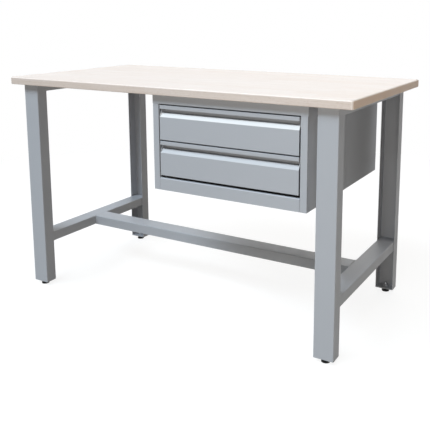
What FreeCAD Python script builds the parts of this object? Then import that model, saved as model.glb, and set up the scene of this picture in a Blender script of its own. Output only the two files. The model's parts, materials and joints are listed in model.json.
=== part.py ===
"""A steel-framed workshop bench with a laminated wooden top and a hanging two-drawer unit.

Millimetres, +Z up, the front faces -Y, and the origin is on the floor under the middle of the top.
Each size stands once in SIZES. Every sketch, pad and placement reads it from the sheet.
"""
import FreeCAD, Part

import os
import re

import Sketcher
from FreeCAD import Placement, Rotation, Vector

SIZES = {
    # worktop
    "top_length": 1500,
    "top_depth": 750,
    "top_thick": 30,
    "bench_height": 900,
    "top_corner_round": 10,
    "top_edge_round": 6,
    "top_lower_chamfer": 2,
    # folded legs
    "leg_inset_x": 54,
    "leg_inset_y": 25,
    "leg_width": 74,
    "leg_flange": 48,
    "leg_gauge": 2.5,
    "leg_floor_gap": 16,
    # side rails of the end frames
    "rail_play": 0.5,
    "rail_gauge": 2,
    "rail_bend": 3,
    "upper_rail_height": 30,
    "lower_rail_height": 40,
    "lower_rail_top": 228,
    # stretcher between the end frames
    "stretcher_width": 76,
    "stretcher_gauge": 2,
    "stretcher_bend": 3,
    "stretcher_plate": 4,
    "stretcher_bolt_pitch": 44,
    "bolt_across": 8,
    "bolt_clear": 1,
    "bolt_head_width": 13,
    "bolt_head_thick": 5.3,
    "bolt_reach": 9,
    "insert_width": 11,
    "insert_length": 14,
    # levelling feet
    "foot_plate": 4,
    "foot_nut_width": 17,
    "foot_nut_height": 8,
    "foot_stud_across": 10,
    "foot_stud_rise": 20,
    "foot_pad_across": 31,
    "foot_pad_rim": 5,
    "foot_pad_height": 11,
    "foot_pad_neck": 19,
    "foot_hex_width": 16,
    "thread_play": 0.05,
    "seat_gap": 0.3,
    # drawer unit: shell
    "unit_width": 620,
    "unit_height": 356,
    "unit_inset_y": 25,
    "unit_rear_gap": 32,
    "unit_side_gap": 32,
    "unit_gauge": 1.5,
    "stile_width": 25,
    "stile_return": 12,
    "unit_bend": 2,
    "top_rail_height": 34.5,
    "top_rail_wrap": 20,
    "bottom_rail_height": 46,
    "rail_lip": 12,
    "bottom_rail_fold": 4,
    "unit_flange": 20,
    "seam_gap": 0.8,
    # runners
    "post_width": 30,
    "post_front_gap": 40,
    "slide_rear_gap": 53,
    "slide_thick": 12.7,
    "slide_height": 45,
    "slide_gauge": 1.2,
    "slide_play": 0.4,
    "slide_web_gap": 2.4,
    "slide_rise": 26,
    "slide_outer_reach": 9.5,
    "slide_middle_reach": 10.8,
    "slide_inner_reach": 6.4,
    # drawers
    "drawer_height": 128,
    "drawer_spacing": 5,
    "drawer_top_gap": 4.5,
    "drawer_side_gap": 5,
    "front_gauge": 1.5,
    "front_bend": 1.2,
    "face_height": 85,
    "grip_depth": 32,
    "grip_rise": 13,
    "grip_bar": 14,
    "grip_hem": 7,
    "front_foot": 15,
    "grip_end_gauge": 1.5,
    "grip_end_cut": 12,
    "tray_gauge": 1.2,
    "tray_rear_gap": 51.5,
    "tray_height": 100,
    "tray_lift": 4,
    "tray_play": 0.5,
    # screws that hold the worktop and the unit
    "wood_screw_across": 6,
    "wood_screw_clear": 1,
    "wood_screw_head": 10,
    "wood_screw_head_thick": 3,
    "wood_screw_bite": 18,
    "unit_screw_inset": 11,
    "access_width": 16,
}

document = FreeCAD.newDocument("Bench")
nodes = []


def write_sheet():
    """One row per size: its name, its number and the alias that expressions read."""
    sheet = document.addObject("Spreadsheet::Sheet", "Sizes")
    for row, (name, value) in enumerate(SIZES.items(), start=1):
        sheet.set("A%d" % row, name)
        sheet.set("B%d" % row, str(value))
        sheet.setAlias("B%d" % row, name)
    document.recompute()


def bound(formula):
    """The formula with every size read from the sheet."""
    return re.sub(r"\b(?!sqrt)[a-z]\w+", lambda word: "Sizes." + word.group(), formula)


def place(item, x="0", y="0", z="0", turn=0, axis=Vector(0, 0, 1)):
    item.Placement = Placement(Vector(), Rotation(axis, turn))
    for name, formula in zip("xyz", (x, y, z)):
        item.setExpression("Placement.Base." + name, bound(formula))
    return item


# PartDesign helpers


def new_body(label, **where):
    body = document.addObject("PartDesign::Body", label)
    nodes.append(body)
    return place(body, **where)


def sketch_on(body, role, offset="0"):
    plane = next(each for each in body.Origin.OriginFeatures if each.Role == role)
    sketch = body.newObject("Sketcher::SketchObject", body.Label + "_sketch")
    sketch.AttachmentSupport = (plane, [""])
    sketch.MapMode = "FlatFace"
    sketch.setExpression("AttachmentOffset.Base.z", bound(offset))
    sketch.Visibility = False
    return sketch


def measure(sketch, kind, *reference, to):
    number = sketch.addConstraint(Sketcher.Constraint(kind, *reference, 1.0))
    sketch.setExpression("Constraints[%d]" % number, bound(to))


def outline(body, role, points, offset="0"):
    """A closed outline whose corners are formulas, measured from the sketch's own origin."""
    sketch = sketch_on(body, role, offset)
    count = len(points)
    corners = [Vector(number, number * number, 0) for number in range(count)]
    for start, end in zip(corners, corners[1:] + corners[:1]):
        sketch.addGeometry(Part.LineSegment(start, end))
    for number in range(count):
        following = (number + 1) % count
        sketch.addConstraint(Sketcher.Constraint("Coincident", number, 2, following, 1))
    for number, (across, along) in enumerate(points):
        measure(sketch, "DistanceX", -1, 1, number, 1, to=across)
        measure(sketch, "DistanceY", -1, 1, number, 1, to=along)
    return sketch


def rectangle(body, role, left, low, right, high, offset="0"):
    return outline(body, role, [(left, low), (right, low), (right, high), (left, high)], offset)


def hexagon_points(width, u, v):
    """Corners of a hexagon with two of its flats upright; width is across the flats."""
    far, half = "(%s) / sqrt(3)" % width, "(%s) / 2" % width
    steps = [(0, 1), (-1, 0.5), (-1, -0.5), (0, -1), (1, -0.5), (1, 0.5)]
    return [("%s + %d * %s" % (u, a, half), "%s + %g * %s" % (v, b, far)) for a, b in steps]


def circles(body, role, centres, across, offset="0"):
    sketch = sketch_on(body, role, offset)
    for number, (u, v) in enumerate(centres):
        sketch.addGeometry(Part.Circle(Vector(20 * number, 0, 0), Vector(0, 0, 1), 2))
        measure(sketch, "DistanceX", -1, 1, number, 3, to=u)
        measure(sketch, "DistanceY", -1, 1, number, 3, to=v)
        measure(sketch, "Diameter", number, to=across)
    return sketch


def pad(body, sketch, length, reverse=False):
    feature = body.newObject("PartDesign::Pad", body.Label + "_pad")
    feature.Profile = sketch
    feature.Reversed = reverse
    feature.setExpression("Length", bound(length))
    return feature


def pocket(body, sketch, length):
    """Cuts half the length to each side of the sketch, and stops if it took nothing away."""
    document.recompute()
    before = body.Shape.Volume
    feature = body.newObject("PartDesign::Pocket", body.Label + "_pocket")
    feature.Profile = sketch
    feature.Midplane = True
    feature.setExpression("Length", bound(length))
    document.recompute()
    if feature.Shape.Volume > before - 0.01:
        raise RuntimeError(body.Label + ": a pocket cut nothing")
    return feature


def dress(body, kind, radius, chosen):
    """A fillet or chamfer on each edge of the body's tip that chosen(edge, box) picks."""
    document.recompute()
    base = body.Tip
    box = base.Shape.BoundBox
    names = [
        "Edge%d" % number
        for number, edge in enumerate(base.Shape.Edges, start=1)
        if chosen(edge.BoundBox, box)
    ]
    feature = body.newObject("PartDesign::" + kind, body.Label + "_" + kind.lower())
    feature.Base = (base, names)
    feature.setExpression("Radius" if kind == "Fillet" else "Size", bound(radius))
    return feature


def near(one, other):
    return abs(one - other) < 0.01


def upright(edge):
    return edge.XLength < 0.01 and edge.YLength < 0.01


# Part primitives for turned and repeated fasteners


def cylinder(label, across, height, x, y, z, turn=0, axis=Vector(0, 0, 1)):
    item = document.addObject("Part::Cylinder", label)
    item.setExpression("Radius", bound("(%s) / 2" % across))
    item.setExpression("Height", bound(height))
    return place(item, x, y, z, turn, axis)


def hexagon(label, width, height, x, y, z, turn=0, axis=Vector(0, 0, 1)):
    item = document.addObject("Part::Prism", label)
    item.Polygon = 6
    item.setExpression("Circumradius", bound("(%s) / sqrt(3)" % width))
    item.setExpression("Height", bound(height))
    return place(item, x, y, z, turn, axis)


def fuse(label, *shapes):
    item = document.addObject("Part::MultiFuse", label)
    item.Shapes = list(shapes)
    return item


def cut(label, base, tool):
    item = document.addObject("Part::Cut", label)
    item.Base = base
    item.Tool = tool
    return item


def group(label, members):
    """Identical fasteners: separate solids that share one node."""
    item = document.addObject("Part::Compound", label)
    item.Links = members
    nodes.append(item)
    return item


# Worktop

LEFT_EDGE = "-top_length / 2"
FRONT_EDGE = "-top_depth / 2"
TOP_UNDERSIDE = "(bench_height - top_thick)"
RAIL_LENGTH = "(top_depth - 2 * (leg_inset_y + leg_gauge))"
RAIL_WIDTH = "(leg_width - 2 * (leg_gauge + rail_play))"
# Screws stand at these shares of a rail's length and of the unit's depth.
RAIL_SCREW_SHARES = (0.15, 0.85)
UNIT_SCREW_SHARES = (0.2, 0.8)
UNIT_LEFT = "(top_length / 2 - leg_inset_x - leg_width - unit_side_gap - unit_width)"
UNIT_FRONT = "(unit_inset_y - top_depth / 2)"
UNIT_BOTTOM = "(bench_height - top_thick - unit_height)"
UNIT_DEPTH = "(top_depth - unit_inset_y - unit_rear_gap)"
SLIDE_LENGTH = "(%s - post_front_gap - slide_rear_gap)" % UNIT_DEPTH
TRAY_DEPTH = "(%s - front_gauge - tray_rear_gap)" % UNIT_DEPTH


def rail_middle(side):
    """X of the middle of an end frame: side is -1 for the left one and 1 for the right one."""
    return "%d * (top_length / 2 - leg_inset_x - leg_width / 2)" % side


def rail_screw_places():
    """Where screws pass up from the upper rails into the top, as (x, y) formulas."""
    places = []
    for side in (-1, 1):
        for share in RAIL_SCREW_SHARES:
            places.append((rail_middle(side), "(%g - 0.5) * %s" % (share, RAIL_LENGTH)))
    return places


def unit_screw_places():
    """Where screws pass up from the unit's side flanges into the top, as (x, y) formulas."""
    places = []
    for inset in ("unit_screw_inset", "unit_width - unit_screw_inset"):
        for share in UNIT_SCREW_SHARES:
            y = "%s + %g * %s" % (UNIT_FRONT, share, UNIT_DEPTH)
            places.append(("%s + %s" % (UNIT_LEFT, inset), y))
    return places


def make_worktop():
    body = new_body("worktop", x=LEFT_EDGE, y=FRONT_EDGE, z=TOP_UNDERSIDE)
    pad(body, rectangle(body, "XY_Plane", "0", "0", "top_length", "top_depth"), "top_thick")
    dress(body, "Fillet", "top_corner_round", lambda edge, box: upright(edge))
    dress(body, "Fillet", "top_edge_round", lambda edge, box: near(edge.ZMin, box.ZMax))
    dress(body, "Chamfer", "top_lower_chamfer", lambda edge, box: near(edge.ZMax, box.ZMin))
    places = rail_screw_places() + unit_screw_places()
    centres = [("%s + top_length / 2" % x, "%s + top_depth / 2" % y) for x, y in places]
    holes = circles(body, "XY_Plane", centres, "wood_screw_across + 2 * thread_play")
    pocket(body, holes, "2 * (wood_screw_bite + seat_gap)")


# End frames: folded legs, foot plates, levelling feet and side rails


def corners_of_bench():
    """(name, side, end): side is -1 left or 1 right, end is -1 front or 1 rear."""
    for end_name, end in (("front", -1), ("rear", 1)):
        for side_name, side in (("left", -1), ("right", 1)):
            yield "%s_%s" % (end_name, side_name), side, end


def leg_origin(side, end):
    """The outer corner of a leg's web from which it is drawn. Rear legs are turned half round."""
    return {
        "x": "%s + %d * leg_width / 2" % (rail_middle(side), end),
        "y": "%d * (top_depth / 2 - leg_inset_y)" % end,
        "turn": 0 if end < 0 else 180,
    }


def make_leg(name, side, end):
    """A sheet folded to a channel, its web outermost and its two flanges turned inward."""
    body = new_body("leg_" + name, z="leg_floor_gap", **leg_origin(side, end))
    channel = [
        ("0", "0"),
        ("leg_width", "0"),
        ("leg_width", "leg_flange"),
        ("leg_width - leg_gauge", "leg_flange"),
        ("leg_width - leg_gauge", "leg_gauge"),
        ("leg_gauge", "leg_gauge"),
        ("leg_gauge", "leg_flange"),
        ("0", "leg_flange"),
    ]
    height = "bench_height - top_thick - leg_floor_gap"
    pad(body, outline(body, "XY_Plane", channel), height)
    # The folds are as tight inside as the play beside the rails, so the rails' ends clear them.
    dress(
        body,
        "Fillet",
        "leg_gauge + rail_play",
        lambda edge, box: upright(edge) and near(edge.YMin, box.YMin),
    )
    inner = SIZES["leg_gauge"]
    dress(
        body,
        "Fillet",
        "rail_play",
        lambda edge, box: upright(edge)
        and near(edge.YMin, inner)
        and min(abs(edge.XMin - box.XMin - inner), abs(box.XMax - inner - edge.XMin)) < 0.01,
    )


def make_foot_plate(name, side, end):
    """The plate welded across a leg's lower end, with a weld nut that the foot's stud turns in."""
    body = new_body("foot_plate_" + name, z="leg_floor_gap", **leg_origin(side, end))
    clear = "leg_gauge + rail_play"
    right = "leg_width - (%s)" % clear
    plate = rectangle(body, "XY_Plane", clear, "leg_gauge", right, "leg_flange")
    pad(body, plate, "foot_plate")
    middle = ("leg_width / 2", "leg_flange / 2")
    nut = hexagon_points("foot_nut_width", *middle)
    pad(body, outline(body, "XY_Plane", nut, offset="foot_plate"), "foot_nut_height")
    bore = circles(body, "XY_Plane", [middle], "foot_stud_across + 2 * thread_play")
    pocket(body, bore, "3 * (foot_plate + foot_nut_height)")


def foot_middle(side, end):
    return rail_middle(side), "%d * (top_depth / 2 - leg_inset_y - leg_flange / 2)" % end


def make_foot(name, side, end):
    """A threaded stud with a hexagon to turn it by, in a moulded disc with a hexagonal neck."""
    x, y = foot_middle(side, end)
    body = new_body("foot_pad_" + name, x=x, y=y)
    pad(body, circles(body, "XY_Plane", [("0", "0")], "foot_pad_across"), "foot_pad_rim")
    neck = outline(body, "XY_Plane", hexagon_points("foot_pad_neck", "0", "0"), offset="foot_pad_rim")
    pad(body, neck, "foot_pad_height - foot_pad_rim")
    stud_height = "leg_floor_gap + foot_stud_rise - foot_pad_height"
    stud = cylinder("stud_" + name, "foot_stud_across", stud_height, x, y, "foot_pad_height")
    hexagon_height = "leg_floor_gap - seat_gap - foot_pad_height"
    turner = hexagon("turner_" + name, "foot_hex_width", hexagon_height, x, y, "foot_pad_height")
    nodes.append(fuse("foot_stud_" + name, stud, turner))


def make_side_rail(label, side, height, top, holes):
    """A rectangular tube between the webs of an end frame's two legs."""
    body = new_body(label, x=rail_middle(side), y="%s / 2" % RAIL_LENGTH, z=top)
    half = "%s / 2" % RAIL_WIDTH
    pad(body, rectangle(body, "XZ_Plane", "-" + half, "-" + height, half, "0"), RAIL_LENGTH)
    dress(body, "Fillet", "rail_bend", lambda edge, box: edge.YLength > 1)
    inside = "%s / 2 - rail_gauge" % RAIL_WIDTH
    bore = rectangle(
        body, "XZ_Plane", "-(%s)" % inside, "rail_gauge - %s" % height, inside, "-rail_gauge"
    )
    pocket(body, bore, "3 * " + RAIL_LENGTH)
    holes(body, height)


def upper_rail_holes(body, height):
    """Clearance for each screw in the upper wall, and for its head and driver in the lower one."""
    rows = ["(%g - 1) * %s" % (share, RAIL_LENGTH) for share in RAIL_SCREW_SHARES]
    clear = "wood_screw_across + wood_screw_clear"
    upper = circles(body, "XY_Plane", [("0", row) for row in rows], clear, offset="-rail_gauge / 2")
    pocket(body, upper, "3 * rail_gauge")
    half = "access_width / 2"
    for row in rows:
        lower = rectangle(
            body,
            "XY_Plane",
            "-" + half,
            "%s - %s" % (row, half),
            half,
            "%s + %s" % (row, half),
            offset="rail_gauge / 2 - " + height,
        )
        pocket(body, lower, "3 * rail_gauge")


def stretcher_bolt_rows():
    return ["-stretcher_bolt_pitch / 2", "stretcher_bolt_pitch / 2"]


def lower_rail_holes(side):
    def holes(body, height):
        """Two holes in the inner wall for the threaded inserts that hold the stretcher."""
        wall = "%d * (%s / 2 - rail_gauge / 2)" % (-side, RAIL_WIDTH)
        for row in stretcher_bolt_rows():
            middle = ("%s - %s / 2" % (row, RAIL_LENGTH), "-%s / 2" % height)
            hole = hexagon_points("insert_width + 2 * thread_play", *middle)
            pocket(body, outline(body, "YZ_Plane", hole, offset=wall), "3 * rail_gauge")

    return holes


def make_end_frames():
    for corner in corners_of_bench():
        make_leg(*corner)
        make_foot_plate(*corner)
        make_foot(*corner)
    for name, side in (("left", -1), ("right", 1)):
        make_side_rail("upper_rail_" + name, side, "upper_rail_height", TOP_UNDERSIDE, upper_rail_holes)
        make_side_rail(
            "lower_rail_" + name, side, "lower_rail_height", "lower_rail_top", lower_rail_holes(side)
        )


# Stretcher, its end plates, bolts and threaded inserts

RAIL_FACE = "(top_length / 2 - leg_inset_x - leg_width + leg_gauge + rail_play)"
BOLT_HEIGHT = "lower_rail_top - lower_rail_height / 2"


def make_stretcher():
    """A sheet folded to a channel, open downward, with a plate welded across each end."""
    length = "2 * (%s - stretcher_plate)" % RAIL_FACE
    body = new_body("stretcher", x="-(%s - stretcher_plate)" % RAIL_FACE, z="lower_rail_top")
    half, inside = "stretcher_width / 2", "(stretcher_width / 2 - stretcher_gauge)"
    channel = [
        ("-" + half, "0"),
        ("-" + half, "-lower_rail_height"),
        ("-" + inside, "-lower_rail_height"),
        ("-" + inside, "-stretcher_gauge"),
        (inside, "-stretcher_gauge"),
        (inside, "-lower_rail_height"),
        (half, "-lower_rail_height"),
        (half, "0"),
    ]
    pad(body, outline(body, "YZ_Plane", channel), length)
    dress(
        body,
        "Fillet",
        "stretcher_bend",
        lambda edge, box: edge.XLength > 1 and near(edge.ZMax, box.ZMax),
    )
    for name, side in (("left", -1), ("right", 1)):
        start = "%s - stretcher_plate" % RAIL_FACE if side > 0 else "-%s" % RAIL_FACE
        plate = new_body("stretcher_plate_" + name, x=start, z="lower_rail_top")
        sheet = rectangle(plate, "YZ_Plane", "-" + half, "-lower_rail_height", half, "0")
        pad(plate, sheet, "stretcher_plate")
        centres = [(row, "-lower_rail_height / 2") for row in stretcher_bolt_rows()]
        clear = "bolt_across + bolt_clear"
        bores = circles(plate, "YZ_Plane", centres, clear, offset="stretcher_plate / 2")
        pocket(plate, bores, "3 * stretcher_plate")


def make_stretcher_fasteners():
    bolts, inserts = [], []
    along_x = Vector(0, 1, 0)
    for name, side in (("left", -1), ("right", 1)):
        for number, row in enumerate(stretcher_bolt_rows(), start=1):
            tag = "%s_%d" % (name, number)
            head_x = "%d * (%s - stretcher_plate)" % (side, RAIL_FACE)
            where = {"y": row, "z": BOLT_HEIGHT, "turn": 90 * side, "axis": along_x}
            shank = cylinder("shank_" + tag, "bolt_across", "stretcher_plate + bolt_reach", head_x, **where)
            back = dict(where, turn=-90 * side)
            head = hexagon("head_" + tag, "bolt_head_width", "bolt_head_thick", head_x, **back)
            bolts.append(fuse("bolt_" + tag, shank, head))
            face_x = "%d * %s" % (side, RAIL_FACE)
            sleeve = hexagon("sleeve_" + tag, "insert_width", "insert_length", face_x, **where)
            bore = cylinder(
                "bore_" + tag, "bolt_across + 2 * thread_play", "insert_length", face_x, **where
            )
            inserts.append(cut("insert_" + tag, sleeve, bore))
    group("stretcher_bolts", bolts)
    group("stretcher_inserts", inserts)


# Drawer unit: the shell that hangs under the top. Its pieces are drawn in the unit's own frame,
# with the origin at the lower left front corner.


def unit_body(label):
    return new_body(label, x=UNIT_LEFT, y=UNIT_FRONT, z=UNIT_BOTTOM)


def across(side, formula):
    """A distance from the unit's left side, or the same distance from its right side."""
    return formula if side < 0 else "unit_width - (%s)" % formula


def make_unit_side(name, side):
    """A side wall folded in front to a stile with a return, behind to a flange, and on top."""
    body = unit_body("unit_side_" + name)
    folded = [
        ("0", "0"),
        ("stile_width", "0"),
        ("stile_width", "stile_return"),
        ("stile_width - unit_gauge", "stile_return"),
        ("stile_width - unit_gauge", "unit_gauge"),
        ("unit_gauge", "unit_gauge"),
        ("unit_gauge", UNIT_DEPTH + " - unit_gauge"),
        ("rail_lip", UNIT_DEPTH + " - unit_gauge"),
        ("rail_lip", UNIT_DEPTH),
        ("0", UNIT_DEPTH),
    ]
    section = [(across(side, x), y) for x, y in folded]
    pad(body, outline(body, "XY_Plane", section), "unit_height")
    notch = rectangle(
        body,
        "XZ_Plane",
        across(side, "unit_gauge"),
        "unit_height - top_rail_height",
        across(side, "stile_width + 1"),
        "unit_height + 1",
        offset="-stile_return / 2",
    )
    pocket(body, notch, "stile_return + 2 * unit_gauge")
    front_rail = rectangle(
        body,
        "XZ_Plane",
        across(side, "-1"),
        "unit_height - top_rail_height",
        across(side, "unit_gauge + 1"),
        "unit_height + 1",
    )
    pocket(body, front_rail, "2 * unit_gauge")
    flange = rectangle(
        body,
        "XY_Plane",
        across(side, "unit_gauge"),
        "top_rail_wrap + 2 * unit_gauge",
        across(side, "unit_flange"),
        UNIT_DEPTH + " - 2 * unit_gauge - seat_gap",
        offset="unit_height - unit_gauge",
    )
    pad(body, flange, "unit_gauge")
    inset = across(side, "unit_screw_inset")
    centres = [(inset, "%g * %s" % (share, UNIT_DEPTH)) for share in UNIT_SCREW_SHARES]
    clear = "wood_screw_across + wood_screw_clear"
    holes = circles(body, "XY_Plane", centres, clear, offset="unit_height - unit_gauge / 2")
    pocket(body, holes, "3 * unit_gauge")
    edge_x = 0 if side < 0 else SIZES["unit_width"]
    inner_x = SIZES["stile_width"] if side < 0 else SIZES["unit_width"] - SIZES["stile_width"]
    dress(
        body,
        "Fillet",
        "unit_bend / 2",
        lambda edge, box: upright(edge)
        and near(edge.YMin, 0)
        and min(abs(edge.XMin - edge_x), abs(edge.XMin - inner_x)) < 0.01,
    )


def make_unit_back():
    body = unit_body("unit_back")
    sheet = rectangle(
        body,
        "XZ_Plane",
        "unit_gauge + seat_gap",
        "unit_gauge",
        "unit_width - unit_gauge - seat_gap",
        "unit_height",
        offset="unit_gauge - " + UNIT_DEPTH,
    )
    pad(body, sheet, "unit_gauge")


def make_unit_base():
    """The floor of the unit, turned up along both sides."""
    body = unit_body("unit_base")
    start, end = "unit_gauge + seat_gap", "unit_width - unit_gauge - seat_gap"
    pan = [
        (start, "unit_flange"),
        (start, "0"),
        (end, "0"),
        (end, "unit_flange"),
        (end + " - unit_gauge", "unit_flange"),
        (end + " - unit_gauge", "unit_gauge"),
        (start + " + unit_gauge", "unit_gauge"),
        (start + " + unit_gauge", "unit_flange"),
    ]
    front = "-(stile_return + seat_gap)"
    length = UNIT_DEPTH + " - unit_gauge - stile_return - 2 * seat_gap"
    pad(body, outline(body, "XZ_Plane", pan, offset=front), length, reverse=True)
    # The back sheet stands on the floor, so the turned-up sides end before it.
    rear = rectangle(
        body,
        "YZ_Plane",
        UNIT_DEPTH + " - 2 * unit_gauge - seat_gap",
        "unit_gauge",
        UNIT_DEPTH,
        "unit_flange + 1",
        offset="unit_width / 2",
    )
    pocket(body, rear, "2 * unit_width")


def make_top_rail():
    """The upper rail of the front frame: it wraps the side walls and turns back twice."""
    body = unit_body("unit_top_rail")
    low, high = "unit_height - top_rail_height", "unit_height"
    face = rectangle(body, "XZ_Plane", "-unit_gauge", low, "unit_width + unit_gauge", high)
    pad(body, face, "unit_gauge", reverse=True)
    for side in (-1, 1):
        wrap = rectangle(
            body,
            "XY_Plane",
            across(side, "-unit_gauge"),
            "0",
            across(side, "0"),
            "top_rail_wrap",
            offset=low,
        )
        pad(body, wrap, "top_rail_height")
    for level in (low, high + " - unit_gauge"):
        lip = rectangle(
            body,
            "XY_Plane",
            "unit_gauge + seat_gap",
            "0",
            "unit_width - unit_gauge - seat_gap",
            "rail_lip",
            offset=level,
        )
        pad(body, lip, "unit_gauge")
    dress(
        body,
        "Fillet",
        "unit_bend / 2",
        lambda edge, box: near(edge.YMax, box.YMin) and (near(edge.ZMax, box.ZMin) or upright(edge)),
    )


def make_bottom_rail():
    """The lower rail of the front frame, between the stiles, with a rounded upper fold."""
    body = unit_body("unit_bottom_rail")
    channel = [
        ("0", "0"),
        ("rail_lip", "0"),
        ("rail_lip", "unit_gauge"),
        ("unit_gauge", "unit_gauge"),
        ("unit_gauge", "bottom_rail_height - unit_gauge"),
        ("rail_lip", "bottom_rail_height - unit_gauge"),
        ("rail_lip", "bottom_rail_height"),
        ("0", "bottom_rail_height"),
    ]
    sketch = outline(body, "YZ_Plane", channel, offset="stile_width + seam_gap")
    pad(body, sketch, "unit_width - 2 * (stile_width + seam_gap)")
    dress(
        body,
        "Fillet",
        "bottom_rail_fold",
        lambda edge, box: edge.XLength > 1 and near(edge.ZMin, box.ZMax) and near(edge.YMax, box.YMin),
    )
    gauge = SIZES["unit_gauge"]
    dress(
        body,
        "Fillet",
        "bottom_rail_fold - unit_gauge",
        lambda edge, box: edge.XLength > 1
        and near(edge.ZMin, box.ZMax - gauge)
        and near(edge.YMax, box.YMin + gauge),
    )


def runner_places():
    """Distance of each runner post from the unit's front."""
    rear = "post_front_gap + %s - post_width" % SLIDE_LENGTH
    return (("front", "post_front_gap"), ("rear", rear))


SLIDE_LEFT = "(stile_width + slide_play)"


def make_posts():
    """Channel posts inside the side walls that carry the slides clear of the stiles."""
    for side_name, side in (("left", -1), ("right", 1)):
        for end_name, start in runner_places():
            body = unit_body("runner_post_%s_%s" % (end_name, side_name))
            wall, face = "unit_gauge", SLIDE_LEFT
            channel = [
                (wall, start),
                (face, start),
                (face, start + " + post_width"),
                (wall, start + " + post_width"),
                (wall, start + " + post_width - unit_gauge"),
                (face + " - unit_gauge", start + " + post_width - unit_gauge"),
                (face + " - unit_gauge", start + " + unit_gauge"),
                (wall, start + " + unit_gauge"),
            ]
            section = [(across(side, x), y) for x, y in channel]
            sketch = outline(body, "XY_Plane", section, offset="unit_flange + seat_gap")
            pad(body, sketch, "unit_height - 2 * unit_flange")


# Drawers: number 0 is the upper one. Heights are counted from the unit's own bottom.


def drawer_bottom(number):
    taken = "%d * drawer_height + %d * drawer_spacing" % (number + 1, number)
    return "unit_height - top_rail_height - drawer_top_gap - (%s)" % taken


DRAWER_LEFT = "(stile_width + drawer_side_gap)"
DRAWER_WIDTH = "(unit_width - 2 * %s)" % DRAWER_LEFT
TRAY_LEFT = "(%s + slide_thick)" % SLIDE_LEFT
TRAY_WIDTH = "(unit_width - 2 * %s)" % TRAY_LEFT


# A sheet bent by 45 degrees has its inner corner this share of its gauge past the outer one.
MITRE = "(sqrt(2) - 1)"


def make_drawer_front(name, bottom):
    """One folded sheet: face, 45 degree lip, floor and back of the grip, top, bar and its hem."""
    origin = {
        "x": "%s + %s" % (UNIT_LEFT, DRAWER_LEFT),
        "y": UNIT_FRONT,
        "z": "%s + %s" % (UNIT_BOTTOM, bottom),
    }
    body = new_body("drawer_front_" + name, **origin)
    folded = [
        ("0", "0"),
        ("0", "face_height"),
        ("grip_rise", "face_height + grip_rise"),
        ("grip_depth", "face_height + grip_rise"),
        ("grip_depth", "drawer_height - front_gauge"),
        ("front_gauge", "drawer_height - front_gauge"),
        ("front_gauge", "drawer_height - grip_bar + front_gauge"),
        ("grip_hem", "drawer_height - grip_bar + front_gauge"),
        ("grip_hem", "drawer_height - grip_bar"),
        ("0", "drawer_height - grip_bar"),
        ("0", "drawer_height"),
        ("grip_depth + front_gauge", "drawer_height"),
        ("grip_depth + front_gauge", "face_height + grip_rise - front_gauge"),
        ("grip_rise + %s * front_gauge" % MITRE, "face_height + grip_rise - front_gauge"),
        ("front_gauge", "face_height - %s * front_gauge" % MITRE),
        ("front_gauge", "front_gauge"),
        ("front_foot", "front_gauge"),
        ("front_foot", "0"),
    ]
    pad(body, outline(body, "YZ_Plane", folded), DRAWER_WIDTH)
    dress(
        body,
        "Fillet",
        "front_bend",
        lambda edge, box: edge.XLength > 1 and near(edge.YMin, box.YMin) and edge.YLength < 0.01,
    )
    ends = []
    for tag, side in (("left", -1), ("right", 1)):
        cheek = document.addObject("PartDesign::Body", "grip_end_%s_%s" % (name, tag))
        shift = "0" if side < 0 else "%s - grip_end_gauge" % DRAWER_WIDTH
        place(cheek, **dict(origin, x="%s + %s" % (origin["x"], shift)))
        plate = [
            ("seat_gap", "face_height + (2 + %s) * seat_gap" % MITRE),
            ("grip_rise - %s * seat_gap" % MITRE, "face_height + grip_rise + seat_gap"),
            ("grip_depth - seat_gap", "face_height + grip_rise + seat_gap"),
            ("grip_depth - seat_gap", "drawer_height - front_gauge - seat_gap"),
            ("grip_end_cut + front_gauge", "drawer_height - front_gauge - seat_gap"),
            ("grip_end_cut", "drawer_height - grip_bar"),
        ]
        pad(cheek, outline(cheek, "YZ_Plane", plate), "grip_end_gauge")
        ends.append(cheek)
    group("drawer_grip_ends_" + name, ends)


def make_drawer_tray(name, bottom):
    """An open box behind the face, notched where the grip reaches back."""
    body = new_body(
        "drawer_tray_" + name,
        x="%s + %s" % (UNIT_LEFT, TRAY_LEFT),
        y="%s + front_gauge" % UNIT_FRONT,
        z="%s + %s + tray_lift" % (UNIT_BOTTOM, bottom),
    )
    pad(body, rectangle(body, "XY_Plane", "0", "0", TRAY_WIDTH, TRAY_DEPTH), "tray_height")
    hollow = rectangle(
        body,
        "XY_Plane",
        "tray_gauge",
        "tray_gauge",
        TRAY_WIDTH + " - tray_gauge",
        TRAY_DEPTH + " - tray_gauge",
        offset="tray_height",
    )
    pocket(body, hollow, "2 * (tray_height - tray_gauge)")
    grip = rectangle(
        body,
        "YZ_Plane",
        "-1",
        "face_height - 2 * front_gauge - tray_lift",
        "grip_depth + tray_play",
        "tray_height + 1",
        offset=TRAY_WIDTH + " / 2",
    )
    pocket(body, grip, "2 * " + TRAY_WIDTH)


def slide_section(kind):
    """A slide member's folded section, as (distance from the post, height from the middle)."""
    half = "slide_height / 2"
    gauge, play = "slide_gauge", "slide_play"
    middle = "(%s - %s - %s)" % (half, gauge, play)
    inner = "(%s - %s - %s)" % (middle, gauge, play)
    web = "(%s + slide_web_gap)" % gauge
    if kind == "outer":
        return channel_section("0", gauge, "slide_outer_reach", half, gauge)
    if kind == "middle":
        return channel_section(web, "%s + %s" % (web, gauge), "slide_middle_reach", middle, gauge)
    return channel_section("slide_thick", "slide_thick - " + gauge, "slide_inner_reach", inner, gauge)


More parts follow.
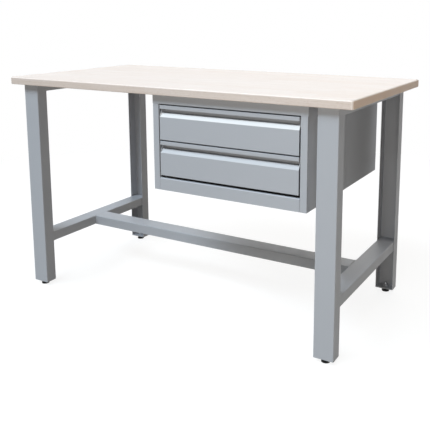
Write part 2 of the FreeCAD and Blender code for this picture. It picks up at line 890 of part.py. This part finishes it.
def channel_section(back, web, tip, half, gauge):
    """A C section: web between back and web, flanges out to tip, half its height each way."""
    return [
        (back, "-" + half),
        (tip, "-" + half),
        (tip, "-(%s - %s)" % (half, gauge)),
        (web, "-(%s - %s)" % (half, gauge)),
        (web, "%s - %s" % (half, gauge)),
        (tip, "%s - %s" % (half, gauge)),
        (tip, half),
        (back, half),
    ]


def slide_middle_height(bottom):
    return "%s + tray_lift + slide_rise + slide_height / 2" % bottom


def make_slides(name, bottom):
    """Three nested members on each side: on the posts, between, and on the tray."""
    for kind in ("outer", "middle", "inner"):
        for side_name, side in (("left", -1), ("right", 1)):
            body = new_body(
                "slide_%s_%s_%s" % (kind, name, side_name),
                x=UNIT_LEFT,
                y="%s + post_front_gap" % UNIT_FRONT,
                z="%s + %s" % (UNIT_BOTTOM, slide_middle_height(bottom)),
            )
            section = [
                (across(side, "%s + %s" % (SLIDE_LEFT, x)), z) for x, z in slide_section(kind)
            ]
            pad(body, outline(body, "XZ_Plane", section), SLIDE_LENGTH, reverse=True)


# Wood screws


def wood_screw(tag, x, y, seat):
    """A wood screw that points up; seat is how far its head's upper face lies below the top."""
    seat_z = "%s - (%s)" % (TOP_UNDERSIDE, seat)
    shank = cylinder("shank_" + tag, "wood_screw_across", "wood_screw_bite + " + seat, x, y, seat_z)
    head_z = seat_z + " - wood_screw_head_thick"
    head = hexagon("head_" + tag, "wood_screw_head", "wood_screw_head_thick", x, y, head_z)
    return fuse("screw_" + tag, shank, head)


def make_wood_screws():
    rail_screws = [
        wood_screw("rail_%d" % number, x, y, "rail_gauge")
        for number, (x, y) in enumerate(rail_screw_places(), start=1)
    ]
    group("worktop_screws", rail_screws)
    unit_screws = [
        wood_screw("unit_%d" % number, x, y, "unit_gauge")
        for number, (x, y) in enumerate(unit_screw_places(), start=1)
    ]
    group("unit_screws", unit_screws)


def make_unit():
    for name, side in (("left", -1), ("right", 1)):
        make_unit_side(name, side)
    make_unit_back()
    make_unit_base()
    make_top_rail()
    make_bottom_rail()
    make_posts()
    for number, name in enumerate(("upper", "lower")):
        bottom = drawer_bottom(number)
        make_drawer_front(name, bottom)
        make_drawer_tray(name, bottom)
        make_slides(name, bottom)


def check_and_export():
    """Stops on any failed feature or unsound solid, then writes one file per node."""
    document.recompute()
    for item in document.Objects:
        if "Invalid" in item.State or "Error" in item.State:
            raise RuntimeError("%s did not build" % item.Label)
    for node in nodes:
        if node.Shape.isNull() or not node.Shape.isValid():
            raise RuntimeError("%s is not a sound solid" % node.Label)
    os.makedirs("parts", exist_ok=True)
    for node in nodes:
        node.Shape.exportStep("parts/%s.step" % node.Label)
        box = node.Shape.BoundBox
        print(
            "%-32s %d solid(s)  x %.1f..%.1f  y %.1f..%.1f  z %.1f..%.1f"
            % (node.Label, len(node.Shape.Solids), box.XMin, box.XMax, box.YMin, box.YMax,
               box.ZMin, box.ZMax)
        )
    print("%d nodes" % len(nodes))


write_sheet()
make_worktop()
make_end_frames()
make_stretcher()
make_stretcher_fasteners()
make_unit()
make_wood_screws()
check_and_export()
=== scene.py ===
"""Looks for the workshop bench: procedural materials, a plain studio and the camera.

Metres, in the CAD's own frame: +Z up, the front faces -Y, the origin on the floor under the top.
"""

import json
import math

import bmesh
import bpy
from mathutils import Matrix, Vector


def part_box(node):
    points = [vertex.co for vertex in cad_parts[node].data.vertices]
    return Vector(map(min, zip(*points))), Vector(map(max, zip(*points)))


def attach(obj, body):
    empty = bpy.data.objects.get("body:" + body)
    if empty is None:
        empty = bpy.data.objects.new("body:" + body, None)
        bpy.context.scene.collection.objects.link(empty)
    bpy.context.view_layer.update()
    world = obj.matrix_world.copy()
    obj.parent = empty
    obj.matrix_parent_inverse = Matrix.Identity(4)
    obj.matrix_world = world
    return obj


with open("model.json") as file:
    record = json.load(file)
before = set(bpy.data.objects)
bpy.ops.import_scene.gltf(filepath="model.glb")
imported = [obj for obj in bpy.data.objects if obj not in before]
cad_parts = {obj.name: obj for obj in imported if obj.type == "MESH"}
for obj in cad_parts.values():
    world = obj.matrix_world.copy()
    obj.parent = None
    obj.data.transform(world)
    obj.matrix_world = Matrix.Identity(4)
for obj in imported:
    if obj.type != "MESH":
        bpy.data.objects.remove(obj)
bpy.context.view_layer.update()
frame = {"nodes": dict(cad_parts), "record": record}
scene = bpy.context.scene


# Node helpers


class Nodes:
    """One material's node tree, with short calls for the nodes that the materials below use."""

    def __init__(self, name):
        self.material = bpy.data.materials.new(name)
        self.material.use_nodes = True
        self.tree = self.material.node_tree
        self.tree.nodes.clear()
        self.output = self.tree.nodes.new("ShaderNodeOutputMaterial")

    def add(self, kind, inputs=None, **settings):
        node = self.tree.nodes.new("ShaderNode" + kind)
        for name, value in settings.items():
            setattr(node, name, value)
        for key, value in (inputs or {}).items():
            self.feed(node.inputs[key], value)
        return node

    def feed(self, socket, value):
        if isinstance(value, bpy.types.NodeSocket):
            self.tree.links.new(value, socket)
        else:
            socket.default_value = value

    def maths(self, operation, *values):
        return self.add("Math", dict(enumerate(values)), operation=operation).outputs[0]

    def vector(self, x=0.0, y=0.0, z=0.0):
        return self.add("CombineXYZ", {"X": x, "Y": y, "Z": z}).outputs[0]

    def place(self):
        return self.add("TexCoord").outputs["Object"]

    def split(self, vector):
        return self.add("SeparateXYZ", {0: vector}).outputs

    def stretched(self, vector, x, y, z):
        """The vector with each axis multiplied: a pattern is drawn out along the small ones."""
        return self.add("VectorMath", {0: vector, 1: (x, y, z)}, operation="MULTIPLY").outputs[0]

    def noise(self, vector, scale, detail=2.0, roughness=0.5):
        values = {"Vector": vector, "Scale": scale, "Detail": detail, "Roughness": roughness}
        return self.add("TexNoise", values).outputs["Fac"]

    def ramp(self, value, low, high, start=0.0, end=1.0):
        """value carried from low..high to start..end and held at the ends."""
        limits = {"From Min": low, "From Max": high, "To Min": start, "To Max": end}
        return self.add("MapRange", {"Value": value, **limits}).outputs["Result"]

    def mix(self, share, first, second):
        """A share of the second colour in the first."""
        node = self.add("Mix", data_type="RGBA")
        self.feed(node.inputs["Factor"], share)
        self.feed(node.inputs["A"], first)
        self.feed(node.inputs["B"], second)
        return node.outputs["Result"]

    def bump(self, height, distance):
        inputs = {"Height": height, "Distance": distance, "Strength": 1.0}
        return self.add("Bump", inputs).outputs["Normal"]

    def surface(self, **inputs):
        """Ends the material in a Principled shader. An underscore stands for a socket's space."""
        named = {key.replace("_", " "): value for key, value in inputs.items()}
        shader = self.add("BsdfPrincipled", named)
        self.tree.links.new(shader.outputs["BSDF"], self.output.inputs["Surface"])
        return self.material


def colour(red, green, blue):
    return (red, green, blue, 1.0)


# Materials


# The worktop's wood, in metres
HALF_DEPTH = 0.375
STAVE_WIDTH = 0.044
BLOCK_LENGTH = 0.62
PITH_HEIGHT, PITH_SPREAD = 0.80, 0.12
RING_WANDER = 0.012
RADIANS_PER_METRE = 2200.0


def laminated_beech():
    """Staves along X, each a run of blocks, glued side by side, with grain and end grain."""
    n = Nodes("laminated_beech")
    place = n.place()
    x, y, z = n.split(place)
    across = n.maths("DIVIDE", n.maths("ADD", y, HALF_DEPTH), STAVE_WIDTH)
    stave = n.maths("FLOOR", across)
    shift = n.add("TexWhiteNoise", {"W": stave}, noise_dimensions="1D").outputs["Value"]
    along = n.maths("ADD", n.maths("DIVIDE", x, BLOCK_LENGTH), n.maths("MULTIPLY", shift, 7.0))
    block = n.maths("FLOOR", along)
    each = n.add("TexWhiteNoise", {"Vector": n.vector(stave, block, 0.5)}, noise_dimensions="3D")
    tone, (pith_y, pith_z, twist) = each.outputs["Value"], n.split(each.outputs["Color"])

    # Growth rings round a pith below the block, at another place for every block.
    from_y = n.maths("ADD", n.maths("SUBTRACT", across, stave), n.maths("MULTIPLY", pith_y, 2.0))
    from_y = n.maths("MULTIPLY", from_y, STAVE_WIDTH)
    from_z = n.maths("ADD", z, n.maths("MULTIPLY", pith_z, PITH_SPREAD))
    from_z = n.maths("SUBTRACT", from_z, PITH_HEIGHT)
    wander = n.noise(n.stretched(place, 0.9, 7.0, 7.0), 3.0, 2.0)
    squares = n.maths(
        "ADD", n.maths("MULTIPLY", from_y, from_y), n.maths("MULTIPLY", from_z, from_z)
    )
    distance = n.maths("POWER", squares, 0.5)
    distance = n.maths("ADD", distance, n.maths("MULTIPLY", wander, RING_WANDER))
    rings = n.maths("SINE", n.maths("MULTIPLY", distance, RADIANS_PER_METRE))
    rings = n.ramp(rings, -1.0, 1.0)

    streaks = n.noise(n.stretched(place, 5.0, 420.0, 420.0), 1.0, 4.0, 0.6)
    fibres = n.noise(n.stretched(place, 24.0, 1800.0, 1800.0), 1.0, 2.0)
    flecks = n.noise(n.stretched(place, 90.0, 1500.0, 1500.0), 1.0, 0.0)
    flecks = n.ramp(flecks, 0.68, 0.76)

    pale, deep = colour(0.975, 0.893, 0.860), colour(0.915, 0.795, 0.730)
    wood = n.mix(n.ramp(tone, 0.0, 1.0, 0.0, 0.55), pale, deep)
    wood = n.mix(n.ramp(streaks, 0.35, 0.75, 0.0, 0.38), wood, colour(0.600, 0.455, 0.340))
    wood = n.mix(n.maths("MULTIPLY", rings, 0.16), wood, colour(0.560, 0.420, 0.310))
    wood = n.mix(n.maths("MULTIPLY", flecks, 0.35), wood, colour(0.420, 0.290, 0.200))

    # Fine glue lines between the staves and at the blocks' ends.
    seam_y = n.maths("ABSOLUTE", n.maths("SUBTRACT", n.maths("FRACT", across), 0.5))
    seam_x = n.maths("ABSOLUTE", n.maths("SUBTRACT", n.maths("FRACT", along), 0.5))
    seam = n.maths("MAXIMUM", n.ramp(seam_y, 0.491, 0.499), n.ramp(seam_x, 0.4994, 0.4999))
    wood = n.mix(n.maths("MULTIPLY", seam, 0.30), wood, colour(0.330, 0.230, 0.160))

    # End grain takes the lacquer in and looks darker.
    along_x = n.split(n.add("NewGeometry").outputs["Normal"])[0]
    end_grain = n.ramp(n.maths("ABSOLUTE", along_x), 0.75, 0.98)
    pores = n.noise(n.stretched(place, 60.0, 2600.0, 2600.0), 1.0, 1.0)
    light_end, dark_end = colour(0.930, 0.630, 0.400), colour(0.760, 0.475, 0.275)
    darker = n.mix(n.ramp(pores, 0.35, 0.7), light_end, dark_end)
    wood = n.mix(n.maths("MULTIPLY", end_grain, 0.66), wood, darker)

    height = n.maths("ADD", n.maths("MULTIPLY", fibres, 0.6), n.maths("MULTIPLY", seam, -0.8))
    sheen = n.ramp(n.noise(place, 9.0, 3.0), 0.3, 0.7, 0.42, 0.54)
    return n.surface(
        Base_Color=wood,
        Roughness=sheen,
        Normal=n.bump(height, 0.00008),
        Coat_Weight=0.15,
        Coat_Roughness=0.30,
    )


# Painted highlight bands on the drawer fronts' lips, standing in for the light on them and
# stronger on the upper lip: lowest and highest height in metres, share of the pale painted
# highlight
LIP_HIGHLIGHT_BANDS = ((0.7865, 0.8020, 0.85), (0.6535, 0.6690, 0.22))
LIP_BEHIND, LIP_FRONT = -0.3360, -0.3375
# The pale colour of the painted highlight on the lips
PAINTED_LIP_HIGHLIGHT = colour(0.840, 0.835, 0.835)


def powder_coat(name, base, shade, roughness, highlight_bands=()):
    """Baked paint with a fine orange-peel skin and a slightly uneven tone.

    The paint is mixed towards a pale painted highlight in the given bands, on what stands in
    front of LIP_BEHIND.
    """
    n = Nodes(name)
    place = n.place()
    cloud = n.ramp(n.noise(place, 2.3, 3.0), 0.3, 0.7)
    grain = n.ramp(n.noise(place, 900.0, 2.0), 0.35, 0.65)
    skin = n.noise(place, 420.0, 3.0, 0.55)
    paint = n.mix(n.maths("MULTIPLY", cloud, 0.6), base, shade)
    paint = n.mix(n.maths("MULTIPLY", grain, 0.12), paint, shade)
    # Painted highlight: the paint is lightened in the lips' bands, standing in for the light on
    # them
    if highlight_bands:
        _, y, z = n.split(place)
        front = n.ramp(y, LIP_BEHIND, LIP_FRONT)
        for lowest, highest, share in highlight_bands:
            above = n.ramp(z, lowest, lowest + 0.0015)
            below = n.ramp(z, highest, highest - 0.001)
            highlight_mask = n.maths("MULTIPLY", n.maths("MULTIPLY", above, below), front)
            paint = n.mix(n.maths("MULTIPLY", highlight_mask, share), paint, PAINTED_LIP_HIGHLIGHT)
    rough = n.ramp(n.noise(place, 14.0, 3.0), 0.3, 0.7, roughness - 0.04, roughness + 0.05)
    return n.surface(Base_Color=paint, Roughness=rough, Normal=n.bump(skin, 0.00006))


def zinc_plate(name, base, along, roughness):
    """Steel under bright zinc: streaks drawn out by the along scales, and faint spangle."""
    n = Nodes(name)
    place = n.place()
    streaks = n.noise(n.stretched(place, *along), 1.0, 4.0, 0.6)
    cells = n.add("TexVoronoi", {"Vector": place, "Scale": 260.0}, feature="F1")
    spangle = n.split(cells.outputs["Color"])[0]
    dull = colour(*[channel * 0.72 for channel in base])
    metal = n.mix(n.ramp(streaks, 0.3, 0.7), colour(*base), dull)
    metal = n.mix(n.maths("MULTIPLY", spangle, 0.18), metal, colour(0.78, 0.79, 0.80))
    rough = n.ramp(streaks, 0.3, 0.7, roughness - 0.06, roughness + 0.10)
    skin = n.bump(streaks, 0.00003)
    return n.surface(Base_Color=metal, Metallic=1.0, Roughness=rough, Normal=skin)


def moulded_black():
    """Matt black nylon with the fine spark texture of its mould."""
    n = Nodes("moulded_black")
    place = n.place()
    spark = n.noise(place, 1400.0, 3.0, 0.6)
    dust = n.ramp(n.noise(place, 60.0, 3.0), 0.45, 0.8, 0.0, 0.35)
    black = n.mix(dust, colour(0.012, 0.012, 0.013), colour(0.035, 0.034, 0.033))
    return n.surface(
        Base_Color=black,
        Roughness=n.ramp(spark, 0.3, 0.7, 0.50, 0.66),
        Normal=n.bump(spark, 0.00005),
        Specular_IOR_Level=0.35,
    )


steel = colour(0.446, 0.461, 0.497)
steel_shade = colour(0.422, 0.437, 0.472)
finishes = {
    "worktop_wood": laminated_beech(),
    "frame_paint": powder_coat("frame_powder_coat", steel, steel_shade, 0.42),
    "unit_paint": powder_coat("unit_powder_coat", steel, steel_shade, 0.42),
    "drawer_paint": powder_coat("drawer_powder_coat", steel, steel_shade, 0.40, LIP_HIGHLIGHT_BANDS),
    "slide_steel": zinc_plate("rolled_zinc", (0.60, 0.61, 0.63), (900.0, 12.0, 900.0), 0.32),
    "zinc_steel": zinc_plate("bright_zinc", (0.58, 0.59, 0.60), (500.0, 500.0, 60.0), 0.34),
    "foot_plastic": moulded_black(),
}
for part in frame["record"]["subparts"]:
    for slot in frame["nodes"][part["node"]].material_slots:
        slot.material = finishes[part["material_slot"]]


# Small details on the steelwork: weld beads, slide screws, rivets and release levers


def piece(name, bm, body, slot):
    """Turns a bmesh into a smooth object that rides on a body and takes a slot's finish."""
    mesh = bpy.data.meshes.new(name)
    bmesh.ops.recalc_face_normals(bm, faces=bm.faces)
    bm.to_mesh(mesh)
    bm.free()
    mesh.polygons.foreach_set("use_smooth", [True] * len(mesh.polygons))
    mesh.set_sharp_from_angle(angle=math.radians(38))
    mesh.materials.append(finishes[slot])
    made = bpy.data.objects.new(name, mesh)
    scene.collection.objects.link(made)
    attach(made, body)


def circle(count):
    """The angles of evenly spread points on a circle."""
    return [2 * math.pi * k / count for k in range(count)]


def loft(bm, rings):
    """Joins rings of points, each with as many points as the last, and closes both ends."""
    made = [[bm.verts.new(point) for point in ring] for ring in rings]
    for one, other in zip(made, made[1:]):
        for k in range(len(one)):
            bm.faces.new((one[k], one[k - 1], other[k - 1], other[k]))
    bm.faces.new(made[0])
    bm.faces.new(reversed(made[-1]))


def weld_bead(bm, start, end, radius, phase):
    """A rippled bead along a straight joint, thinner at both ends."""
    start, end = Vector(start), Vector(end)
    run = end - start
    side = run.orthogonal().normalized()
    other = run.normalized().cross(side)
    steps = max(8, round(run.length / 0.0008))
    rings = []
    for step in range(steps + 1):
        share = step / steps
        swell = min(1.0, 0.45 + 4.0 * min(share, 1.0 - share) * run.length / 0.02)
        ripple = (step + phase) % 3 / 3.0
        size = radius * swell * (1.0 - 0.16 * ripple + 0.05 * math.sin(1.7 * step + phase))
        middle = start + run * share
        rings.append([
            middle + size * (math.cos(angle) * side + math.sin(angle) * other)
            for angle in circle(10)
        ])
    loft(bm, rings)


def round_head(bm, middle, outward, radius, height, recess):
    """A domed head on a wall that faces along X. A recess of 0 leaves the dome whole."""
    x, y, z = middle
    profile = [
        (radius, 0.0), (radius * 0.97, 0.35 * height), (radius * 0.80, 0.78 * height),
        (radius * 0.52, height),
    ]
    if recess:
        profile += [(recess, height * 0.98), (recess * 0.8, height * 0.45)]
    else:
        profile += [(0.0002, height)]
    rings = []
    for size, rise in profile:
        rings.append([
            (x + outward * rise, y + size * math.cos(angle), z + size * math.sin(angle))
            for angle in circle(18)
        ])
    loft(bm, rings)


def release_lever(bm, middle, outward):
    """The moulded lever that lets a drawer off its slides: a thin arm with a thumb pad."""
    x, y, z = middle
    outline = [
        (-0.034, -0.0030), (0.020, -0.0030), (0.024, -0.0062), (0.036, -0.0062),
        (0.0385, -0.0035), (0.0385, 0.0035), (0.036, 0.0062), (0.024, 0.0062),
        (0.020, 0.0030), (-0.034, 0.0030),
    ]
    rings = []
    for rise, shrink in ((0.0, 1.0), (0.0016, 1.0), (0.0021, 0.94)):
        rings.append([
            (x + outward * rise, y + along * shrink, z + up * shrink) for along, up in outline
        ])
    loft(bm, rings)


# Welds, measured from the middle of a leg along X and from the middle of the bench along Y
LEG_X = 0.659
RAIL_WELD_X, RAIL_WELD_Y, RAIL_WELD_RADIUS = 0.0346, 0.3013, 0.0019
RAIL_FOLD = 0.004
PLATE_THICKNESS = 0.004
WEB_WELD_X, WEB_WELD_Y, WEB_WELD_RADIUS = 0.024, 0.3472, 0.0016
FLANGE_WELD_X, FLANGE_WELD_YS, FLANGE_WELD_RADIUS = 0.0343, (0.338, 0.308), 0.0015


def weld_frame():
    """Beads where rails meet the legs' flanges and where the foot plates sit in the legs."""
    bm = bmesh.new()
    phase = 0
    plate_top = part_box("foot_plate_front_left")[0][2] + PLATE_THICKNESS
    for name, side in (("left", -1), ("right", 1)):
        leg_x = side * LEG_X
        for rail in ("upper_rail_", "lower_rail_"):
            low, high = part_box(rail + name)
            bottom, top = low[2] + RAIL_FOLD, high[2] - RAIL_FOLD
            for end in (-1, 1):
                for face in (-1, 1):
                    x, y = leg_x + face * RAIL_WELD_X, end * RAIL_WELD_Y
                    weld_bead(bm, (x, y, bottom), (x, y, top), RAIL_WELD_RADIUS, phase)
                    phase += 1
        for end in (-1, 1):
            y = end * WEB_WELD_Y
            start, stop = (leg_x - WEB_WELD_X, y, plate_top), (leg_x + WEB_WELD_X, y, plate_top)
            weld_bead(bm, start, stop, WEB_WELD_RADIUS, phase)
            for face in (-1, 1):
                x = leg_x + face * FLANGE_WELD_X
                start, stop = [(x, end * y, plate_top) for y in FLANGE_WELD_YS]
                weld_bead(bm, start, stop, FLANGE_WELD_RADIUS, phase + 1)
                phase += 1
    piece("frame_welds", bm, "bench", "frame_paint")


# Details of the slides: heads and levers are sunk into their wall, so that nothing hovers
INNER_WALL = 0.0012
SINK = 0.0001
SCREW_RADIUS, SCREW_HEIGHT, SCREW_RECESS = 0.0036, 0.0018, 0.0013
RIVET_RADIUS, RIVET_HEIGHT, RIVET_LIFT = 0.0024, 0.0010, 0.008


def dress_slides(level):
    """Screws, a release lever and rivets on one drawer's pair of slides."""
    screws, levers, rivets = bmesh.new(), bmesh.new(), bmesh.new()
    for name, side in (("left", -1), ("right", 1)):
        low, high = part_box("slide_inner_%s_%s" % (level, name))
        wall = low[0] + INNER_WALL if side > 0 else high[0] - INNER_WALL
        x, z = wall - side * SINK, (low[2] + high[2]) / 2
        for share in (0.07, 0.30, 0.62, 0.93):
            y = low[1] + share * (high[1] - low[1])
            round_head(screws, (x, y, z), side, SCREW_RADIUS, SCREW_HEIGHT, SCREW_RECESS)
        release_lever(levers, (x, low[1] + 0.46 * (high[1] - low[1]), z), side)
        low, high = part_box("slide_middle_%s_%s" % (level, name))
        wall = high[0] if side > 0 else low[0]
        x = wall - side * SINK
        for share in (0.035, 0.5, 0.965):
            y = low[1] + share * (high[1] - low[1])
            for lift in (-RIVET_LIFT, RIVET_LIFT):
                round_head(rivets, (x, y, z + lift), side, RIVET_RADIUS, RIVET_HEIGHT, 0.0)
    piece("slide_screws_" + level, screws, level + "_drawer", "zinc_steel")
    piece("slide_levers_" + level, levers, level + "_drawer", "foot_plastic")
    piece("slide_rivets_" + level, rivets, level + "_slide_middles", "slide_steel")


weld_frame()
for level in ("upper", "lower"):
    dress_slides(level)


# Studio

FLOOR_REACH = 30.0
SHADOW_FADES = (1.2, 3.0)
WHITE = colour(1.0, 1.0, 1.0)


def studio_floor():
    """A wide pale floor. Seen or mirrored it is white, but for the bench's soft shadow."""
    mesh = bpy.data.meshes.new("floor")
    corners = [(-1, -1), (1, -1), (1, 1), (-1, 1)]
    corners = [(FLOOR_REACH * x, FLOOR_REACH * y, 0.0) for x, y in corners]
    mesh.from_pydata(corners, [], [(0, 1, 2, 3)])
    floor = bpy.data.objects.new("floor", mesh)
    scene.collection.objects.link(floor)
    n = Nodes("pale_floor")
    rays = n.add("LightPath").outputs
    seen = n.maths("MAXIMUM", rays["Is Camera Ray"], rays["Is Glossy Ray"])
    seen = n.maths("MAXIMUM", seen, rays["Is Transmission Ray"])
    grain = n.ramp(n.noise(n.place(), 3.0, 3.0), 0.3, 0.7, 0.98, 1.0)
    # Light that falls on the bench from the floor is dimmer and warmer than the floor looks.
    dim, less_dim = colour(0.230, 0.203, 0.172), colour(0.245, 0.216, 0.183)
    pale = n.mix(grain, dim, less_dim)
    bounce = n.add("BsdfDiffuse", {"Color": pale}).outputs[0]
    shadow = n.add("BsdfDiffuse", {"Color": colour(0.20, 0.20, 0.20)}).outputs[0]
    glow = n.add("Emission", {"Color": WHITE, "Strength": 0.86}).outputs[0]
    near = n.add("AddShader", {0: shadow, 1: glow}).outputs[0]
    far = n.add("Emission", {"Color": WHITE, "Strength": 1.0}).outputs[0]
    away = n.add("VectorMath", {0: n.place()}, operation="LENGTH").outputs["Value"]
    white = n.add("MixShader", {0: n.ramp(away, *SHADOW_FADES), 1: near, 2: far}).outputs[0]
    both = n.add("MixShader", {0: seen, 1: bounce, 2: white}).outputs[0]
    n.tree.links.new(both, n.output.inputs["Surface"])
    mesh.materials.append(n.material)


def studio_world(strength, tint):
    """Soft light from all round. The background itself is plain white."""
    world = bpy.data.worlds.new("studio")
    scene.world = world
    world.use_nodes = True
    tree = world.node_tree
    tree.nodes.clear()
    rays = tree.nodes.new("ShaderNodeLightPath")
    seen = rays.outputs["Is Camera Ray"]
    for ray in ("Is Glossy Ray", "Is Transmission Ray"):
        either = tree.nodes.new("ShaderNodeMath")
        either.operation = "MAXIMUM"
        tree.links.new(seen, either.inputs[0])
        tree.links.new(rays.outputs[ray], either.inputs[1])
        seen = either.outputs[0]
    light = tree.nodes.new("ShaderNodeBackground")
    light.inputs["Color"].default_value = colour(*tint)
    light.inputs["Strength"].default_value = strength
    backdrop = tree.nodes.new("ShaderNodeBackground")
    backdrop.inputs["Color"].default_value = WHITE
    backdrop.inputs["Strength"].default_value = 1.0
    mix = tree.nodes.new("ShaderNodeMixShader")
    tree.links.new(seen, mix.inputs[0])
    tree.links.new(light.outputs[0], mix.inputs[1])
    tree.links.new(backdrop.outputs[0], mix.inputs[2])
    output = tree.nodes.new("ShaderNodeOutputWorld")
    tree.links.new(mix.outputs[0], output.inputs["Surface"])


def area_lamp(name, place, target, size, watts, tint, mirrored=False):
    """A rectangular lamp that faces its target. Polished surfaces mirror it only if mirrored."""
    data = bpy.data.lights.new(name, "AREA")
    data.shape = "RECTANGLE"
    data.size, data.size_y = size
    data.energy = watts
    data.color = tint
    lamp = bpy.data.objects.new(name, data)
    scene.collection.objects.link(lamp)
    lamp.location = place
    lamp.rotation_mode = "QUATERNION"
    lamp.rotation_quaternion = (Vector(target) - Vector(place)).to_track_quat("-Z", "Y")
    lamp.visible_camera = False
    lamp.visible_glossy = mirrored


# The key lamp is cool and comes from high up at the front left. The fills are weak.
BENCH_MIDDLE = (0.1, -0.2, 0.6)
studio_floor()
studio_world(0.03, (1.0, 0.94, 0.86))
area_lamp(
    "key", (-2.94, -6.95, 10.05), BENCH_MIDDLE, size=(12.0, 2.7), watts=1640.0,
    tint=(0.80, 0.912, 1.0), mirrored=True,
)
area_lamp(
    "front_fill", (1.3, -2.4, 0.8), (0.5, -0.2, 0.5), size=(1.6, 1.0), watts=17.0,
    tint=(1.0, 0.94, 0.84),
)
area_lamp(
    "rear_fill", (-0.5, 5.0, 3.4), BENCH_MIDDLE, size=(4.0, 2.5), watts=95.0,
    tint=(1.0, 0.93, 0.80),
)
area_lamp(
    "rear_low", (-1.3, 2.5, 0.95), (0.5, 0.0, 0.3), size=(2.0, 0.5), watts=21.0,
    tint=(0.92, 0.96, 1.0),
)
area_lamp(
    "side_high", (2.2, 0.2, 4.8), (0.5, 0.0, 0.6), size=(1.6, 1.6), watts=40.0,
    tint=(1.0, 0.95, 0.87),
)


# Camera: a quarter view from the front right, a little above the top

FRAME_PIXELS = 430.0
FOCAL_PIXELS = 643.27
PRINCIPAL_X, PRINCIPAL_Y = 252.0, 122.0
SENSOR_MM = 36.0
CAMERA_PLACE = (1.4230, -2.2048, 1.1567)
YAW, PITCH, ROLL = math.radians(29.229), math.radians(9.511), math.radians(0.108)

camera_data = bpy.data.cameras.new("camera")
camera_data.sensor_width = SENSOR_MM
camera_data.lens = SENSOR_MM * FOCAL_PIXELS / FRAME_PIXELS
camera_data.shift_x = (FRAME_PIXELS / 2 - PRINCIPAL_X) / FRAME_PIXELS
camera_data.shift_y = (PRINCIPAL_Y - FRAME_PIXELS / 2) / FRAME_PIXELS
camera = bpy.data.objects.new("camera", camera_data)
scene.collection.objects.link(camera)
turned = Matrix.Rotation(YAW, 4, "Z") @ Matrix.Rotation(math.pi / 2 - PITCH, 4, "X")
turned = turned @ Matrix.Rotation(ROLL, 4, "Z")
camera.matrix_world = Matrix.Translation(CAMERA_PLACE) @ turned
scene.camera = camera

scene.view_settings.view_transform = "Standard"
